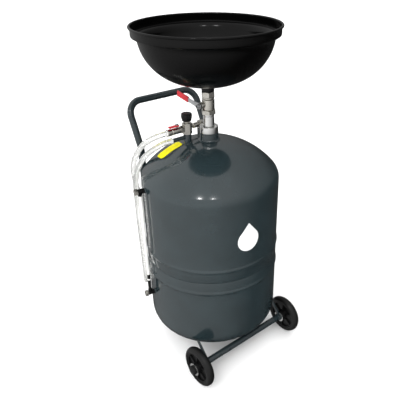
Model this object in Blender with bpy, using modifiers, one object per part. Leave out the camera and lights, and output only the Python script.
"""Wheeled waste-oil drainer: a welded tank on two wheels and two casters, with a catch bowl on a riser.

Frame: X runs along the wheel axle, -Y is the wheel side, +Y the handle side, +Z up, metres.
Every piece is parented to one empty on the tank's axis at floor level.
"""
import math

import bmesh
import bpy
from mathutils import Matrix, Vector

# ---- driving dimensions -------------------------------------------------------------------------
GAP = 0.0003                    # clearance between pieces that touch
TANK_AXIS = (0.0075, -0.011)   # the tank's axis, so that the whole object is centred on the origin

TANK_R = 0.200
TANK_WALL = 0.0025
SHOULDER_Z = 0.585              # top of the straight wall
SHOULDER_K = 0.040              # upper knuckle radius
DOME_R = 0.250                  # crown radius of the dome
SEAM_Z = 0.3445
RIB_Z = (0.3815, 0.3070)        # the two swaged ribs, above and below the seam
RIB_H = 0.0024
BASE_Z = 0.145                  # bottom of the straight wall
BASE_K = 0.055
BASE_R = 0.600
NECK_HOLE_R = 0.0268

NECK_R = 0.0265
NECK_BORE_R = 0.0168
NECK_TOP = 0.7200
COLLAR_R = 0.0260
COLLAR_TOP = 0.7385
RISER_R = 0.0158
RISER_BORE_R = 0.0143
RISER_BOTTOM = 0.118
RISER_TOP = 0.7718

VALVE_Z = 0.800                 # centre of the main ball valve
VALVE_R = 0.0173
PORT_R = 0.0095                 # oil way through the valve, nipple and bowl
LEVER_X = -0.0335               # outer face of the main lever
LEVER_LEN = 0.099
LEVER_TILT = math.radians(8.0)

BOWL_RIM_Z = 1.0070
BOWL_RIM_R = 0.1950
BOWL_R = 0.1765                 # radius of the round part, below the band
BOWL_BULGE_Z = 0.9880
BOWL_BASE_Z = 0.8525
BOWL_WALL = 0.0016

HANDLE_R = 0.0100
HANDLE_X = 0.120
HANDLE_LEAN = 0.47              # run over rise of the leaning legs
HANDLE_TOP = (0.2340, 0.7710)   # y and z of the cross grip

WHEEL_R = 0.0625
WHEEL_X = 0.1795
WHEEL_HALF = 0.0125
AXLE_Y = -0.1595
AXLE_Z = WHEEL_R
STRUT_X = (0.1500, 0.1550)      # inner and outer face of each axle strut

CASTER_X = 0.105
CASTER_Y = 0.115
CASTER_R = 0.025
CASTER_TRAIL = 0.016

OUTLET = (-0.0525, 0.0300)      # boss of the oil outlet, on the dome
OUTLET_Z = 0.7350
SPOUT_Z = 0.7100                # centre of the side spout on the outlet boss
INLET = (0.0080, 0.0500)        # boss of the air inlet, behind the neck
INLET_Z = 0.7280

GAUGE_R = 0.2140                # the gauge stands off the tank's wall at this radius
GAUGE_TURN = math.radians(-12.0)     # and is turned this far back from the left side
GAUGE_TOP = 0.5850
GAUGE_BOTTOM = 0.2340

HOSE_R = 0.0080
HANG_R = 0.2145                 # how far from the tank's axis the hose hangs

SEG = 32


# ---- helpers --------------------------------------------------------------------------------------
def clear_scene():
    for obj in list(bpy.data.objects):
        bpy.data.objects.remove(obj, do_unlink=True)


clear_scene()
PARTS = bpy.data.collections.new("oil_drain_pan")
CUTTERS = bpy.data.collections.new("cutters")
bpy.context.scene.collection.children.link(PARTS)
bpy.context.scene.collection.children.link(CUTTERS)

ORIGIN = bpy.data.objects.new("tank_axis", None)
ORIGIN.location = (TANK_AXIS[0], TANK_AXIS[1], 0.0)
PARTS.objects.link(ORIGIN)


def material(name, color, metallic, roughness):
    mat = bpy.data.materials.new(name)
    mat.use_nodes = True
    shader = mat.node_tree.nodes["Principled BSDF"]
    shader.inputs["Base Color"].default_value = (*color, 1.0)
    shader.inputs["Metallic"].default_value = metallic
    shader.inputs["Roughness"].default_value = roughness
    mat.diffuse_color = (*color, 1.0)
    return mat


SLATE = material("slate_paint", (0.055, 0.075, 0.085), 0.0, 0.25)
BLACK_PAINT = material("black_paint", (0.008, 0.008, 0.008), 0.0, 0.22)
BLACK_PLASTIC = material("black_plastic", (0.012, 0.012, 0.013), 0.0, 0.45)
RUBBER = material("black_rubber", (0.014, 0.014, 0.014), 0.0, 0.65)
NICKEL = material("nickel", (0.56, 0.55, 0.51), 1.0, 0.28)
CHROME = material("chrome", (0.78, 0.78, 0.77), 1.0, 0.08)
STEEL = material("zinc_steel", (0.60, 0.61, 0.62), 1.0, 0.35)
RED_VINYL = material("red_vinyl", (0.62, 0.02, 0.03), 0.0, 0.35)
CLEAR_PVC = material("clear_pvc", (0.80, 0.80, 0.78), 0.0, 0.20)
GAUGE_WHITE = material("gauge_white", (0.82, 0.82, 0.80), 0.0, 0.25)
YELLOW = material("yellow_label", (1.0, 0.86, 0.0), 0.0, 0.45)
PACKING = material("white_packing", (0.75, 0.75, 0.72), 0.0, 0.50)


def new_object(name, data, mat, location=(0, 0, 0), rotation=(0, 0, 0), cutter=False):
    """Link an object, as a part or as a cutter, and hang it from the tank's axis."""
    obj = bpy.data.objects.new(name, data)
    obj.location = location
    obj.rotation_euler = rotation
    obj.parent = ORIGIN
    if cutter:
        CUTTERS.objects.link(obj)
        obj.hide_render = True
        obj.display_type = "WIRE"
    else:
        PARTS.objects.link(obj)
        obj.data.materials.append(mat)
    return obj


def shade(obj, angle=35.0):
    if isinstance(obj.data, bpy.types.Mesh) and len(obj.data.polygons):
        obj.data.shade_smooth()
        obj.data.set_sharp_from_angle(angle=math.radians(angle))


def turned(name, profile, mat, steps=24, location=(0, 0, 0), rotation=(0, 0, 0), cutter=False,
           loop=False):
    """Turn a profile of (radius, height) points about the object's Z axis.

    The points run down the outer side. loop closes the profile, for a ring or an open shell.
    """
    mesh = bpy.data.meshes.new(name)
    edges = [(i, i + 1) for i in range(len(profile) - 1)]
    if loop:
        edges.append((len(profile) - 1, 0))
    mesh.from_pydata([(r, 0.0, z) for r, z in profile], edges, [])
    obj = new_object(name, mesh, mat, location, rotation, cutter)
    screw = obj.modifiers.new("Turn", "SCREW")
    screw.axis = "Z"
    screw.angle = math.tau
    screw.steps = steps
    screw.render_steps = steps
    screw.use_merge_vertices = True
    screw.merge_threshold = 0.00001
    screw.use_smooth_shade = True
    return obj


def pin(name, radius, z0, z1, mat, steps=24, chamfer=0.0, **place):
    """A plain turned cylinder from z0 to z1, with both edges chamfered."""
    c = chamfer
    if c:
        profile = [(0, z1), (radius - c, z1), (radius, z1 - c), (radius, z0 + c), (radius - c, z0), (0, z0)]
    else:
        profile = [(0, z1), (radius, z1), (radius, z0), (0, z0)]
    return turned(name, profile, mat, steps, **place)


def ring(name, outer, inner, z0, z1, mat, steps=20, chamfer=0.0, **place):
    """A turned ring from z0 to z1, its outer edges chamfered."""
    c = chamfer
    profile = [(outer - c, z1), (outer, z1 - c), (outer, z0 + c), (outer - c, z0)] if c else \
        [(outer, z1), (outer, z0)]
    profile += [(inner, z0), (inner, z1)]
    return turned(name, profile, mat, steps, loop=True, **place)


def box(name, low, high, mat, bevel=0.0, cutter=False, origin=None):
    """A box between two corners, its origin at its centre or at a given point."""
    low, high = Vector(low), Vector(high)
    centre = (low + high) / 2 if origin is None else Vector(origin)
    bm = bmesh.new()
    bmesh.ops.create_cube(bm, size=1.0)
    size = high - low
    bmesh.ops.scale(bm, vec=size, verts=bm.verts)
    bmesh.ops.translate(bm, vec=(low + high) / 2 - centre, verts=bm.verts)
    mesh = bpy.data.meshes.new(name)
    bm.to_mesh(mesh)
    bm.free()
    obj = new_object(name, mesh, mat, centre, cutter=cutter)
    if bevel:
        mod = obj.modifiers.new("Edges", "BEVEL")
        mod.width = bevel
        mod.segments = 2
    return obj


def to_mesh(obj):
    """Swap a curve object for the mesh it draws, with its caps welded on."""
    graph = bpy.context.evaluated_depsgraph_get()
    mesh = bpy.data.meshes.new_from_object(obj.evaluated_get(graph))
    bm = bmesh.new()
    bm.from_mesh(mesh)
    bmesh.ops.remove_doubles(bm, verts=bm.verts, dist=0.00001)
    bmesh.ops.recalc_face_normals(bm, faces=bm.faces)
    bm.to_mesh(mesh)
    bm.free()
    name, collection = obj.name, obj.users_collection[0]
    place = obj.location.copy(), obj.rotation_euler.copy()
    hidden = obj.hide_render
    bpy.data.objects.remove(obj, do_unlink=True)
    new = bpy.data.objects.new(name, mesh)
    collection.objects.link(new)
    new.parent = ORIGIN
    new.location, new.rotation_euler = place
    if hidden:
        new.hide_render = True
        new.display_type = "WIRE"
    return new


def tube(name, points, radius, mat, resolution=2, cutter=False, mesh=False):
    """A round bar along a line of points, with flat ends."""
    curve = bpy.data.curves.new(name, "CURVE")
    curve.dimensions = "3D"
    curve.bevel_depth = radius
    curve.bevel_resolution = resolution
    curve.use_fill_caps = True
    spline = curve.splines.new("POLY")
    spline.points.add(len(points) - 1)
    for point, co in zip(spline.points, points):
        point.co = (*co, 1.0)
    spline.use_smooth = True
    obj = new_object(name, curve, mat, cutter=cutter)
    return to_mesh(obj) if mesh else obj


def outline(name, points, thickness, mat, location, rotation, holes=(), cutter=False):
    """A flat plate from an outline in its own XY plane, as thick as given about that plane."""
    curve = bpy.data.curves.new(name, "CURVE")
    curve.dimensions = "2D"
    curve.fill_mode = "BOTH"
    curve.extrude = thickness / 2
    for ring_points in [points, *holes]:
        spline = curve.splines.new("POLY")
        spline.points.add(len(ring_points) - 1)
        for point, (x, y) in zip(spline.points, ring_points):
            point.co = (x, y, 0.0, 1.0)
        spline.use_cyclic_u = True
    obj = new_object(name, curve, mat, location, rotation, cutter)
    return to_mesh(obj)


def circle(cx, cy, radius, count=16):
    step = math.tau / count
    return [(cx + radius * math.cos(i * step), cy + radius * math.sin(i * step)) for i in range(count)]


def arc(cx, cy, radius, start, end, count):
    """count + 1 points from start to end, both in degrees."""
    out = []
    for i in range(count + 1):
        a = math.radians(start + (end - start) * i / count)
        out.append((cx + radius * math.cos(a), cy + radius * math.sin(a)))
    return out


def boolean(obj, cutter, operation="DIFFERENCE"):
    mod = obj.modifiers.new(operation.title(), "BOOLEAN")
    mod.operation = operation
    mod.solver = "EXACT"
    mod.object = cutter
    return obj


ALONG_X = (0.0, math.radians(90.0), 0.0)        # local Z points to +X
ALONG_Y = (math.radians(-90.0), 0.0, 0.0)       # local Z points to +Y
IN_YZ = (math.radians(90.0), 0.0, math.radians(90.0))   # an outline's x is Y and its y is Z
FLAT_TO_X = (0.0, 0.0, math.radians(30.0))      # turns an upright nut so that a flat faces X


# ---- tank -----------------------------------------------------------------------------------------
CROWN_Z = SHOULDER_Z - math.sqrt((DOME_R - SHOULDER_K) ** 2 - (TANK_R - SHOULDER_K) ** 2)
CROWN_TILT = math.degrees(math.atan2(SHOULDER_Z - CROWN_Z, TANK_R - SHOULDER_K))
KEEL_Z = BASE_Z + math.sqrt((BASE_R - BASE_K) ** 2 - (TANK_R - BASE_K) ** 2)
KEEL_TILT = math.degrees(math.atan2(BASE_Z - KEEL_Z, TANK_R - BASE_K))


def dome_line(inset, hole, crown_steps=5, knuckle_steps=5):
    """The dome from the neck hole out to the straight wall."""
    radius = DOME_R - inset
    start = math.degrees(math.acos(hole / radius))
    crown = arc(0.0, CROWN_Z, radius, start, CROWN_TILT, crown_steps)
    knuckle = arc(TANK_R - SHOULDER_K, SHOULDER_Z, SHOULDER_K - inset, CROWN_TILT, 0.0, knuckle_steps)
    return crown + knuckle[1:]


def base_line(inset, knuckle_steps=5, crown_steps=4):
    """The tank's bottom from the straight wall in to the axis."""
    knuckle = arc(TANK_R - BASE_K, BASE_Z, BASE_K - inset, 0.0, KEEL_TILT, knuckle_steps)
    crown = arc(0.0, KEEL_Z, BASE_R - inset, KEEL_TILT, -90.0, crown_steps)
    crown[-1] = (0.0, KEEL_Z - (BASE_R - inset))
    return knuckle + crown[1:]


def rib(z):
    """A swaged rib standing out of the wall, top to bottom."""
    steps = ((0.0090, 0.0), (0.0048, 0.72), (0.0, 1.0), (-0.0048, 0.72), (-0.0090, 0.0))
    return [(TANK_R + RIB_H * height, z + dz) for dz, height in steps]


def build_tank():
    wall_r = TANK_R - TANK_WALL
    top = dome_line(0.0, NECK_HOLE_R) + rib(RIB_Z[0]) + [(TANK_R, SEAM_Z + GAP / 2)]
    top += [(wall_r, SEAM_Z + GAP / 2)] + dome_line(TANK_WALL, NECK_HOLE_R, 4, 3)[::-1]
    turned("tank_upper_shell", top, SLATE, SEG, loop=True)
    low = [(wall_r, SEAM_Z - GAP / 2), (TANK_R, SEAM_Z - GAP / 2)] + rib(RIB_Z[1]) + base_line(0.0)
    low_in = base_line(TANK_WALL, 3, 3)[::-1]
    turned("tank_lower_shell", low_in + low, SLATE, SEG)


def tank_cutter():
    """A solid that stands a gap proud of the whole tank, to fit welded pieces to it."""
    top = dome_line(-GAP, 0.001, 12, 10)
    bottom = base_line(-GAP, 10, 8)
    return turned("cut_tank", [(0.0, CROWN_Z + DOME_R + GAP)] + top[1:] + bottom, None, 96, cutter=True)


def build_boss(name, place, radius, height, cut_tank):
    """A round boss welded to the dome, its foot fitted to the dome's slope."""
    profile = [(0, height), (radius - 0.0012, height), (radius, height - 0.0012), (radius, 0.6600), (0, 0.6600)]
    boss = turned(name, profile, SLATE, 20, (place[0], place[1], 0))
    boolean(boss, cut_tank)
    return boss


# ---- neck, collar and riser -------------------------------------------------------------------
def build_neck():
    lip_z = CROWN_Z + math.sqrt(DOME_R ** 2 - 0.031 ** 2) + GAP
    neck = [(NECK_R, NECK_TOP - 0.0006), (NECK_R, lip_z + 0.0052), (NECK_R + 0.0016, lip_z + 0.0026),
            (NECK_R + 0.0045, lip_z + 0.0006), (NECK_R + 0.0045, lip_z + 0.0001),
            (NECK_HOLE_R - GAP, CROWN_Z + math.sqrt(DOME_R ** 2 - NECK_HOLE_R ** 2) + GAP),
            (NECK_HOLE_R - GAP, 0.6900), (NECK_BORE_R, 0.6900), (NECK_BORE_R, NECK_TOP - GAP),
            (NECK_R - 0.0006, NECK_TOP - GAP)]
    turned("tank_neck", neck, SLATE, 24, loop=True)
    ring("gland_packing", 0.0202, 0.0162, NECK_TOP + GAP, 0.7277, PACKING)
    collar = [(COLLAR_R - 0.0010, COLLAR_TOP), (COLLAR_R, COLLAR_TOP - 0.0010), (COLLAR_R, NECK_TOP + 0.0010),
              (COLLAR_R - 0.0010, NECK_TOP), (0.0205, NECK_TOP), (0.0205, 0.7280), (0.0168, 0.7280),
              (0.0168, 0.7305), (0.0217, 0.7315), (0.0217, COLLAR_TOP)]
    turned("gland_collar", collar, CHROME, 24, loop=True)
    groove = 0.0010
    top = RISER_TOP
    riser = [(RISER_R, top), (RISER_R, top - 0.0030), (RISER_R - groove, top - 0.0036),
             (RISER_R - groove, top - 0.0060), (RISER_R, top - 0.0066), (RISER_R, RISER_BOTTOM),
             (RISER_BORE_R - 0.0008, RISER_BOTTOM), (RISER_BORE_R - 0.0008, top)]
    turned("riser_tube", riser, CHROME, 24, loop=True)


# ---- main ball valve ------------------------------------------------------------------------------
def nut(name, across, hole, z0, z1, mat, location=(0, 0, 0), rotation=(0, 0, 0), cutter=False):
    """A hexagon nut between z0 and z1 on its own axis, with a hexagonal way through; hole 0 is solid."""
    corner = across / 2 / math.cos(math.pi / 6)
    way = hole / math.cos(math.pi / 6)
    profile = [(corner, z1), (corner, z0), (way, z0), (way, z1)]
    if not hole:
        profile = [(0, z1), (corner, z1), (corner, z0), (0, z0)]
    return turned(name, profile, mat, 6, location, rotation, cutter, loop=bool(hole))


def build_valve():
    nut("valve_lower_nut", 0.0360, 0.0110, RISER_TOP + GAP, 0.7845, NICKEL)
    low, high = 0.7848, 0.8194
    body = [(0.0150, high), (0.0166, high - 0.0006), (0.0166, 0.8162), (0.0152, 0.8154),
            (0.0152, 0.8150), (VALVE_R, 0.8130), (VALVE_R, low + 0.0015), (0.0160, low),
            (0.0105, low), (0.0105, VALVE_Z - 0.0110), (0.0145, VALVE_Z - 0.0085),
            (0.0145, VALVE_Z + 0.0085), (0.0105, VALVE_Z + 0.0110), (0.0105, high)]
    valve = turned("valve_body", body, NICKEL, 24, loop=True)
    boolean(valve, pin("cut_stem_hole", 0.0042, -0.040, -0.010, None, 16, location=(0, 0, VALVE_Z),
                       rotation=ALONG_X, cutter=True))
    nut("valve_upper_nut", 0.0325, 0.0128, 0.8197, 0.8345, NICKEL)

    bonnet = turned("valve_bonnet", [(0.0066, 0.0262), (0.0085, 0.0250), (0.0085, 0.0140), (0.0044, 0.0140),
                                     (0.0044, 0.0262)], NICKEL, 16, (0, 0, VALVE_Z),
                    (0.0, math.radians(-90.0), 0.0), loop=True)
    boolean(bonnet, pin("cut_bonnet_seat", VALVE_R + GAP, -0.03, 0.03, None, 64,
                        location=(0, 0, VALVE_Z), cutter=True))

    ball = bpy.data.meshes.new("valve_ball_stem")
    bm = bmesh.new()
    bmesh.ops.create_uvsphere(bm, u_segments=16, v_segments=10, radius=0.0138)
    bm.to_mesh(ball)
    bm.free()
    ball = new_object("valve_ball_stem", ball, STEEL, (0, 0, VALVE_Z))
    boolean(ball, pin("cut_ball_stem", 0.0038, -0.0400, -0.0100, None, 16, location=(0, 0, VALVE_Z),
                      rotation=ALONG_X, cutter=True), "UNION")
    boolean(ball, pin("cut_ball_port", 0.0095, -0.03, 0.03, None, 16, location=(0, 0, VALVE_Z),
                      rotation=ALONG_Y, cutter=True))

    # Lever: a strip with a round hub, lying along +Y and tilted up a little, closed in this place.
    hub, half, end = 0.0090, 0.0058, LEVER_LEN - 0.002
    along = [(end, -half), (end, half), (0.020, half)]
    strip = along + arc(0.0, 0.0, hub, 50.0, 310.0, 10) + [(0.020, -half)]
    strip = [(x * math.cos(LEVER_TILT) - y * math.sin(LEVER_TILT),
              x * math.sin(LEVER_TILT) + y * math.cos(LEVER_TILT)) for x, y in strip]
    outline("valve_lever", strip, 0.0025, STEEL, (LEVER_X + 0.00125, 0, VALVE_Z), IN_YZ,
            holes=[circle(0, 0, 0.0041, 14)])
    nut("valve_lever_nut", 0.0110, 0.0041, 0.0338, 0.0380, STEEL, (0, 0, VALVE_Z),
        (0.0, math.radians(-90.0), 0.0))
    sleeve = box("valve_lever_sleeve", (LEVER_X - 0.0014, 0.046, -0.0085), (LEVER_X + 0.0039, LEVER_LEN, 0.0085),
                 RED_VINYL, bevel=0.0018, origin=(0, 0, 0))
    sleeve.location = (0, 0, VALVE_Z)
    sleeve.rotation_euler = (LEVER_TILT, 0.0, 0.0)
    slot = box("cut_sleeve", (LEVER_X - GAP, 0.040, -half - GAP), (LEVER_X + 0.0025 + GAP, end + GAP, half + GAP),
               None, cutter=True, origin=(0, 0, 0))
    slot.location = (0, 0, VALVE_Z)
    slot.rotation_euler = (LEVER_TILT, 0.0, 0.0)
    boolean(sleeve, slot)


# ---- bowl -----------------------------------------------------------------------------------------
def inset_line(points, thickness):
    """The same line moved in by a thickness, square to it."""
    out = []
    for i, (r, z) in enumerate(points):
        r0, z0 = points[max(i - 1, 0)]
        r1, z1 = points[min(i + 1, len(points) - 1)]
        run, rise = r1 - r0, z1 - z0
        length = math.hypot(run, rise)
        out.append((r + rise / length * thickness, z - run / length * thickness))
    return out


def build_bowl():
    depth = BOWL_BULGE_Z - BOWL_BASE_Z
    band_r = 0.1905
    outer = [(band_r, BOWL_RIM_Z - 0.0065), (band_r, 0.9835), (band_r - 0.0015, 0.9815), (0.1810, 0.9797)]
    for i in range(9):
        a = math.radians(6.0 + 76.0 * i / 8)
        outer.append((BOWL_R * math.cos(a) ** 0.86, BOWL_BULGE_Z - depth * math.sin(a)))
    outer.append((0.0135, BOWL_BASE_Z))
    inner = inset_line(outer, BOWL_WALL)
    inner[-1] = (0.0135, BOWL_BASE_Z + BOWL_WALL)
    bead = arc(BOWL_RIM_R - 0.0032, BOWL_RIM_Z - 0.0032, 0.0032, 190.0, -90.0, 6)
    turned("catch_bowl", bead + outer + inner[::-1], BLACK_PAINT, SEG, loop=True)

    nipple = [(0.0122, 0.8640), (0.0122, BOWL_BASE_Z - GAP), (0.0175, BOWL_BASE_Z - GAP), (0.0175, 0.8420),
              (0.0168, 0.8348), (PORT_R, 0.8348), (PORT_R, 0.8640)]
    turned("bowl_nipple", nipple, BLACK_PLASTIC, 20, loop=True)
    nut("bowl_drain_nut", 0.0360, 0.0126, BOWL_BASE_Z + BOWL_WALL + 0.0014, 0.8615, NICKEL)


# ---- handle ---------------------------------------------------------------------------------------
def bend(corner, before, after, radius, count):
    """Points round a corner of a bent tube, from the run before it to the run after it."""
    corner, before, after = Vector(corner), Vector(before), Vector(after)
    u = (before - corner).normalized()
    v = (after - corner).normalized()
    half = u.angle(v) / 2
    centre = corner + (u + v).normalized() * (radius / math.sin(half))
    start = corner + u * (radius / math.tan(half)) - centre
    axis = v.cross(u)
    turn = math.pi - 2 * half
    return [centre + Matrix.Rotation(turn * i / count, 3, axis) @ start for i in range(count + 1)]


def handle_path():
    leg_y = 0.1760
    top_y, top_z = HANDLE_TOP
    knee_z = top_z - (top_y - leg_y) / HANDLE_LEAN
    left = [(-HANDLE_X, leg_y, 0.5000), (-HANDLE_X, leg_y, knee_z), (-HANDLE_X, top_y, top_z)]
    right = [(-x, y, z) for x, y, z in reversed(left)]
    corners = left + right
    radii = [0, 0.060, 0.042, 0.042, 0.060, 0]
    counts = [0, 3, 7, 7, 3, 0]
    path = [Vector(corners[0])]
    for i in range(1, 5):
        path += bend(corners[i], corners[i - 1], corners[i + 1], radii[i], counts[i])
    path.append(Vector(corners[-1]))
    return path


def build_handle(cut_tank):
    path = handle_path()
    handle = tube("handle_tube", path, HANDLE_R, SLATE, resolution=3, mesh=True)
    ends = [path[0] - Vector((0, 0, 0.01)), path[-1] - Vector((0, 0, 0.01))]
    bore = tube("cut_handle_bore", [ends[0]] + path[1:-1] + [ends[1]], 0.0082, None, resolution=2,
                cutter=True, mesh=True)
    boolean(handle, bore)
    bolt_z = 0.5430
    for side, x in (("left", -HANDLE_X), ("right", HANDLE_X)):
        bracket = box("handle_bracket_" + side, (x - 0.0080, 0.1400, 0.5060), (x + 0.0080, 0.1760, 0.5800), SLATE)
        boolean(bracket, cut_tank)
        leg = pin("cut_leg_" + side, HANDLE_R + GAP, 0.49, 0.60, None, 32, location=(x, 0.1760, 0),
                  cutter=True)
        boolean(bracket, leg)
        hole = pin("cut_bolt_" + side, 0.0034, 0.1640, 0.20, None, 12, location=(x, 0, bolt_z),
                   rotation=ALONG_Y, cutter=True)
        boolean(handle, hole)
        boolean(bracket, hole)
        bolt = [(0, 0.1905), (0.0042, 0.1905), (0.0052, 0.1895), (0.0052, 0.1866), (0.0030, 0.1866),
                (0.0030, 0.1645), (0, 0.1645)]
        turned("handle_bolt_" + side, bolt, STEEL, 12, (x, 0, bolt_z), ALONG_Y)


# ---- wheels and frame -----------------------------------------------------------------------------
def axle_strut_outline():
    """The strut in the YZ plane: an eye round the axle, and a slim bar that leans back up into the tank."""
    ay, az = AXLE_Y, AXLE_Z
    return arc(ay, az, 0.0130, 135.0, 419.0, 14) + [(-0.0945, 0.1392), (-0.1005, 0.1432), (-0.1057, 0.1371)]


def build_frame(cut_tank):
    for side, sign in (("left", -1), ("right", 1)):
        mid = sign * (STRUT_X[0] + STRUT_X[1]) / 2
        strut = outline("axle_strut_" + side, axle_strut_outline(), STRUT_X[1] - STRUT_X[0], SLATE,
                        (mid, 0, 0), IN_YZ, holes=[circle(AXLE_Y, AXLE_Z, 0.0063, 16)])
        boolean(strut, cut_tank)
    tube_end = STRUT_X[0] - GAP
    ring("axle_tube", 0.0098, 0.0078, -tube_end, tube_end, SLATE, 24, location=(0, AXLE_Y, AXLE_Z),
         rotation=ALONG_X)
    pin("axle_rod", 0.0060, -0.2080, 0.2080, STEEL, 20, location=(0, AXLE_Y, AXLE_Z), rotation=ALONG_X)

    bar = box("caster_bar", (-0.135, 0.0920, 0.0715), (0.135, 0.1380, 0.0755), SLATE)
    web = box("cut_bar_web", (-0.130, 0.1125, 0.0740), (0.130, 0.1175, 0.1150), None, cutter=True)
    boolean(bar, web, "UNION")
    for x in (-CASTER_X, CASTER_X):
        plate = box(f"cut_caster_plate_{x}", (x - 0.0280, CASTER_Y - 0.0220, 0.0687),
                    (x + 0.0280, CASTER_Y + 0.0220, 0.0725), None, cutter=True)
        boolean(bar, plate, "UNION")
    boolean(bar, cut_tank)


def build_wheel(side, sign):
    """A moulded wheel on its bush, with a washer on each face and a cap on the axle's end."""
    place = dict(location=(0, AXLE_Y, AXLE_Z), rotation=(0.0, math.radians(90.0 * sign), 0.0))
    c, h = WHEEL_X, WHEEL_HALF
    tyre = [(0.0490, c + h), (0.0535, c + h), (0.0590, c + h - 0.0035), (0.0618, c + 0.0048), (WHEEL_R, c),
            (0.0618, c - 0.0048), (0.0590, c - h + 0.0035), (0.0535, c - h), (0.0490, c - h)]
    turned("wheel_tyre_" + side, tyre, RUBBER, 32, loop=True, **place)
    hub = [(0.0165, 0.1985), (0.0175, c + 0.0045), (0.0430, c + 0.0035), (0.0440, c + h - 0.002),
           (0.0487, c + h - 0.002), (0.0487, c - h + 0.002), (0.0440, c - h + 0.002), (0.0430, c - 0.0035),
           (0.0175, c - 0.0045), (0.0165, 0.1573), (0.0064, 0.1573), (0.0064, 0.1985)]
    turned("wheel_hub_" + side, hub, BLACK_PLASTIC, 24, loop=True, **place)
    ring("wheel_inner_washer_" + side, 0.0180, 0.0064, 0.1553, 0.1570, CHROME, 20, **place)
    ring("wheel_outer_washer_" + side, 0.0200, 0.0064, 0.1988, 0.2003, CHROME, 20, **place)
    cap = [(0, 0.2115), (0.0115, 0.2098), (0.0143, 0.2062), (0.0143, 0.2006), (0.0064, 0.2006),
           (0.0064, 0.2083), (0, 0.2083)]
    turned("axle_cap_" + side, cap, BLACK_PLASTIC, 16, **place)


def build_caster(side, sign):
    x = sign * CASTER_X
    disc = pin("caster_fork_" + side, 0.0175, 0.0625, 0.0684, STEEL, 16, location=(x, CASTER_Y, 0))
    legs = [(-0.0130, 0.0640), (-0.0130, 0.0560), (CASTER_TRAIL - 0.0070, 0.0180), (CASTER_TRAIL + 0.0070, 0.0180),
            (0.0150, 0.0560), (0.0150, 0.0640)]
    wheel_y = CASTER_Y + CASTER_TRAIL
    for i, dx in enumerate((-0.0133, 0.0133)):
        leg = outline(f"cut_fork_{side}_{i}", legs, 0.0022, None, (x + dx, CASTER_Y, 0), IN_YZ, cutter=True)
        boolean(disc, leg, "UNION")
    boolean(disc, pin("cut_fork_axle_" + side, 0.0033, -0.03, 0.03, None, 16, location=(x, wheel_y, CASTER_R),
                      rotation=ALONG_X, cutter=True))
    wheel = [(0.0225, 0.0092), (CASTER_R, 0.0070), (CASTER_R, -0.0070), (0.0225, -0.0092), (0.0110, -0.0092),
             (0.0080, -0.0112), (0.0034, -0.0112), (0.0034, 0.0112), (0.0080, 0.0112), (0.0110, 0.0092)]
    turned("caster_wheel_" + side, wheel, BLACK_PLASTIC, 24, (x, wheel_y, CASTER_R), ALONG_X, loop=True)
    axle = [(0, 0.0172), (0.0055, 0.0172), (0.0055, 0.0147), (0.0030, 0.0147), (0.0030, -0.0147),
            (0.0055, -0.0147), (0.0055, -0.0172), (0, -0.0172)]
    turned("caster_axle_" + side, axle, STEEL, 10, (x, wheel_y, CASTER_R), ALONG_X)


# ---- oil outlet and air inlet on the dome -------------------------------------------------------
def build_outlet(cut_tank):
    x, y = OUTLET
    at = (x, y, 0)
    boss = build_boss("outlet_boss", OUTLET, 0.0110, 0.7185, cut_tank)
    spout = pin("cut_spout", 0.0055, 0.0050, 0.0511, None, 12, location=(x, y, SPOUT_Z),
                rotation=(0.0, math.radians(-90.0), 0.0), cutter=True)
    boolean(boss, spout, "UNION")
    block = nut("outlet_block", 0.0240, 0.0, 0.7188, 0.7505, NICKEL, at, FLAT_TO_X)
    stem = turned("cut_knob_stem", [(0, 0.7600), (0.0030, 0.7600), (0.0030, 0.7556), (0.0052, 0.7556),
                                    (0.0052, 0.7450), (0, 0.7450)], None, 16, at, cutter=True)
    boolean(block, stem, "UNION")
    knob = [(0.0130, 0.7775), (0.0152, 0.7755), (0.0155, 0.7680), (0.0128, 0.7560), (0.0034, 0.7560),
            (0.0034, 0.7606), (0, 0.7606)]
    turned("relief_knob", [(0, 0.7775)] + knob, BLACK_PLASTIC, 10, at)

    out = dict(location=(x, y, OUTLET_Z), rotation=(0.0, math.radians(-90.0), 0.0))
    barrel = [(0.0085, 0.0665), (0.0095, 0.0655), (0.0095, 0.0530), (0.0080, 0.0520), (0.0080, 0.0510),
              (0.0088, 0.0500), (0.0088, 0.0250), (0.0075, 0.0238), (0.0075, 0.0123), (0.0040, 0.0123),
              (0.0040, 0.0665)]
    valve = turned("outlet_valve_body", barrel, NICKEL, 16, loop=True, **out)
    collar = nut("cut_outlet_hex", 0.0185, 0.0045, 0.0130, 0.0235, None, out["location"], out["rotation"],
                 cutter=True)
    boolean(valve, collar, "UNION")

    px = x - 0.0330
    top = OUTLET_Z + 0.0188
    turned("outlet_lever_stem", [(0, top), (0.0036, top), (0.0044, top - 0.0010), (0.0044, top - 0.0030),
                                 (0.0030, top - 0.0030), (0.0030, OUTLET_Z + 0.0092), (0, OUTLET_Z + 0.0092)],
           STEEL, 16, (px, y, 0))
    hub = arc(0.0, 0.0, 0.0062, -60.0, 60.0, 5)
    strip = hub + [(-0.0050, 0.0050), (-0.0260, 0.0050), (-0.0260, -0.0050), (-0.0050, -0.0050)]
    outline("outlet_lever", strip, 0.0030, RED_VINYL, (px, y, OUTLET_Z + 0.0140), (0, 0, 0),
            holes=[circle(0, 0, 0.0033, 12)])


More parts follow.
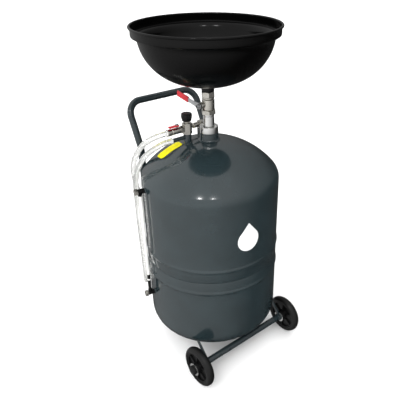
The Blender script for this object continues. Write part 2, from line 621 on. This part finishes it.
def build_inlet(cut_tank):
    x, y = INLET
    build_boss("inlet_boss", INLET, 0.0100, 0.7165, cut_tank)
    nut("inlet_elbow", 0.0185, 0.0030, 0.7168, 0.7370, NICKEL, (x, y, 0), FLAT_TO_X)
    plug = [(0.0050, 0.0370), (0.0055, 0.0362), (0.0055, 0.0300), (0.0045, 0.0290), (0.0045, 0.0275),
            (0.0074, 0.0265), (0.0074, 0.0110), (0.0064, 0.0096), (0.0025, 0.0096), (0.0025, 0.0370)]
    turned("air_plug", plug, NICKEL, 14, (x, y, INLET_Z), (0.0, math.radians(-90.0), 0.0), loop=True)


# ---- level gauge on the tank's side -----------------------------------------------------------------
def build_gauge(cut_tank):
    out = (0.0, math.radians(-90.0), GAUGE_TURN)
    x, y = -GAUGE_R * math.cos(GAUGE_TURN), -GAUGE_R * math.sin(GAUGE_TURN)
    for name, z, into in (("top", GAUGE_TOP, -1), ("bottom", GAUGE_BOTTOM, 1)):
        body = pin(f"gauge_{name}_fitting", 0.0072, 0.1850, 0.2205, BLACK_PAINT, 16, 0.0008,
                   location=(0, 0, z), rotation=out)
        socket = pin(f"cut_socket_{name}", 0.0060, min(0.0, into * 0.0135), max(0.0, into * 0.0135), None, 16,
                     location=(x, y, z), cutter=True)
        boolean(body, socket, "UNION")
        boolean(body, cut_tank)
        nut(f"gauge_{name}_nut", 0.0170, 0.0030, 0.2208, 0.2300, NICKEL, (0, 0, z), out)
    low = GAUGE_BOTTOM + 0.0135 + GAP
    high = GAUGE_TOP - 0.0135 - GAP
    joint = low + 0.0550
    pin("gauge_lower_sleeve", 0.0050, low, joint, BLACK_PLASTIC, 16, location=(x, y, 0))
    pin("gauge_tube", 0.0046, joint + GAP, high, GAUGE_WHITE, 16, location=(x, y, 0))


# ---- label on the dome ------------------------------------------------------------------------------
def build_label():
    """A thin blank label that follows the dome: a rounded outline cut out of a thin dome."""
    skin = [(0.0, CROWN_Z + DOME_R + 0.0009)] + arc(0, CROWN_Z, DOME_R + 0.0009, 84.0, 50.0, 10)
    under = arc(0, CROWN_Z, DOME_R + 0.0003, 50.0, 84.0, 10) + [(0.0, CROWN_Z + DOME_R + 0.0003)]
    label = turned("dome_label", skin + under, YELLOW, 64)
    half_x, half_y, corner = 0.0330, 0.0215, 0.0100
    points = []
    for cx, cy, start in ((1, 1, 0), (-1, 1, 90), (-1, -1, 180), (1, -1, 270)):
        points += arc(cx * (half_x - corner), cy * (half_y - corner), corner, start, start + 90, 4)
    stamp = outline("cut_label", points, 0.20, None, (-0.0930, 0.0625, 0.66), (0, 0, math.radians(-12.0)),
                    cutter=True)
    boolean(label, stamp, "INTERSECT")


# ---- outlet hose ------------------------------------------------------------------------------------
def around(angle, z, radius=HANG_R):
    """A point beside the tank, by its angle about the tank's axis."""
    a = math.radians(angle)
    return (radius * math.cos(a), radius * math.sin(a), z)


def hose_route():
    """From the outlet over the tank's shoulder, down, round a loop, up again and under the outlet."""
    out = [(-0.1290, OUTLET[1], OUTLET_Z), (-0.1405, 0.0335, 0.7330), (-0.1510, 0.0430, 0.7270),
           (-0.1600, 0.0560, 0.7175), (-0.1675, 0.0715, 0.7045), (-0.1740, 0.0865, 0.6870),
           (-0.1795, 0.1000, 0.6655), (-0.1830, 0.1115, 0.6420), (-0.1825, 0.1205, 0.6150)]
    down = [around(141.5, 0.560, 0.2180), around(138.0, 0.520, 0.2155), around(133.5, 0.470),
            around(128.5, 0.420), around(123.0, 0.360), around(119.0, 0.310)]
    loop = []
    for i in range(7):
        a = math.pi * (1 - i / 6)
        loop.append(around(136.6 + 18.6 * math.cos(a), 0.280 - 0.068 * math.sin(a)))
    up = [around(155.3, 0.350), around(155.2, 0.440, 0.2160), around(155.2, 0.540, 0.2160), around(155.3, 0.590),
          (-0.1900, 0.0840, 0.6250), (-0.1835, 0.0770, 0.6475), (-0.1750, 0.0680, 0.6660),
          (-0.1650, 0.0580, 0.6815), (-0.1535, 0.0475, 0.6930), (-0.1415, 0.0385, 0.7020),
          (-0.1290, 0.0320, 0.7085), (-0.1143, OUTLET[1], SPOUT_Z)]
    return [Vector(p) for p in out + down + loop + up]


def smooth(points, spacing):
    """Points at even spacing along a smooth curve through the given ones."""
    ends = [points[0] * 2 - points[1]] + points + [points[-1] * 2 - points[-2]]
    fine = []
    for i in range(1, len(ends) - 2):
        a, b, c, d = ends[i - 1:i + 3]
        for k in range(16):
            t = k / 16
            fine.append(0.5 * (2 * b + (c - a) * t + (2 * a - 5 * b + 4 * c - d) * t ** 2
                               + (3 * b - a - 3 * c + d) * t ** 3))
    fine.append(points[-1])
    run = [0.0]
    for p, q in zip(fine, fine[1:]):
        run.append(run[-1] + (q - p).length)
    count = round(run[-1] / spacing)
    out, j = [], 0
    for i in range(count + 1):
        want = run[-1] * i / count
        while j < len(run) - 2 and run[j + 1] < want:
            j += 1
        t = (want - run[j]) / (run[j + 1] - run[j])
        out.append(fine[j].lerp(fine[j + 1], t))
    return out


def build_hose():
    first = Vector((OUTLET[0] - 0.0665 - GAP, OUTLET[1], OUTLET_Z))
    last = Vector((OUTLET[0] - 0.0511 - GAP, OUTLET[1], SPOUT_Z))
    route = [first] + smooth(hose_route(), 0.022) + [last]
    tube("outlet_hose", route, HOSE_R, CLEAR_PVC, resolution=2)


# ---- build ------------------------------------------------------------------------------------------
build_tank()
CUT_TANK = tank_cutter()
build_neck()
build_valve()
build_bowl()
build_handle(CUT_TANK)
build_frame(CUT_TANK)
for SIDE, SIGN in (("left", -1), ("right", 1)):
    build_wheel(SIDE, SIGN)
    build_caster(SIDE, SIGN)
build_outlet(CUT_TANK)
build_inlet(CUT_TANK)
build_gauge(CUT_TANK)
build_label()
build_hose()
for OBJ in PARTS.objects:
    if OBJ.type == "MESH":
        shade(OBJ)
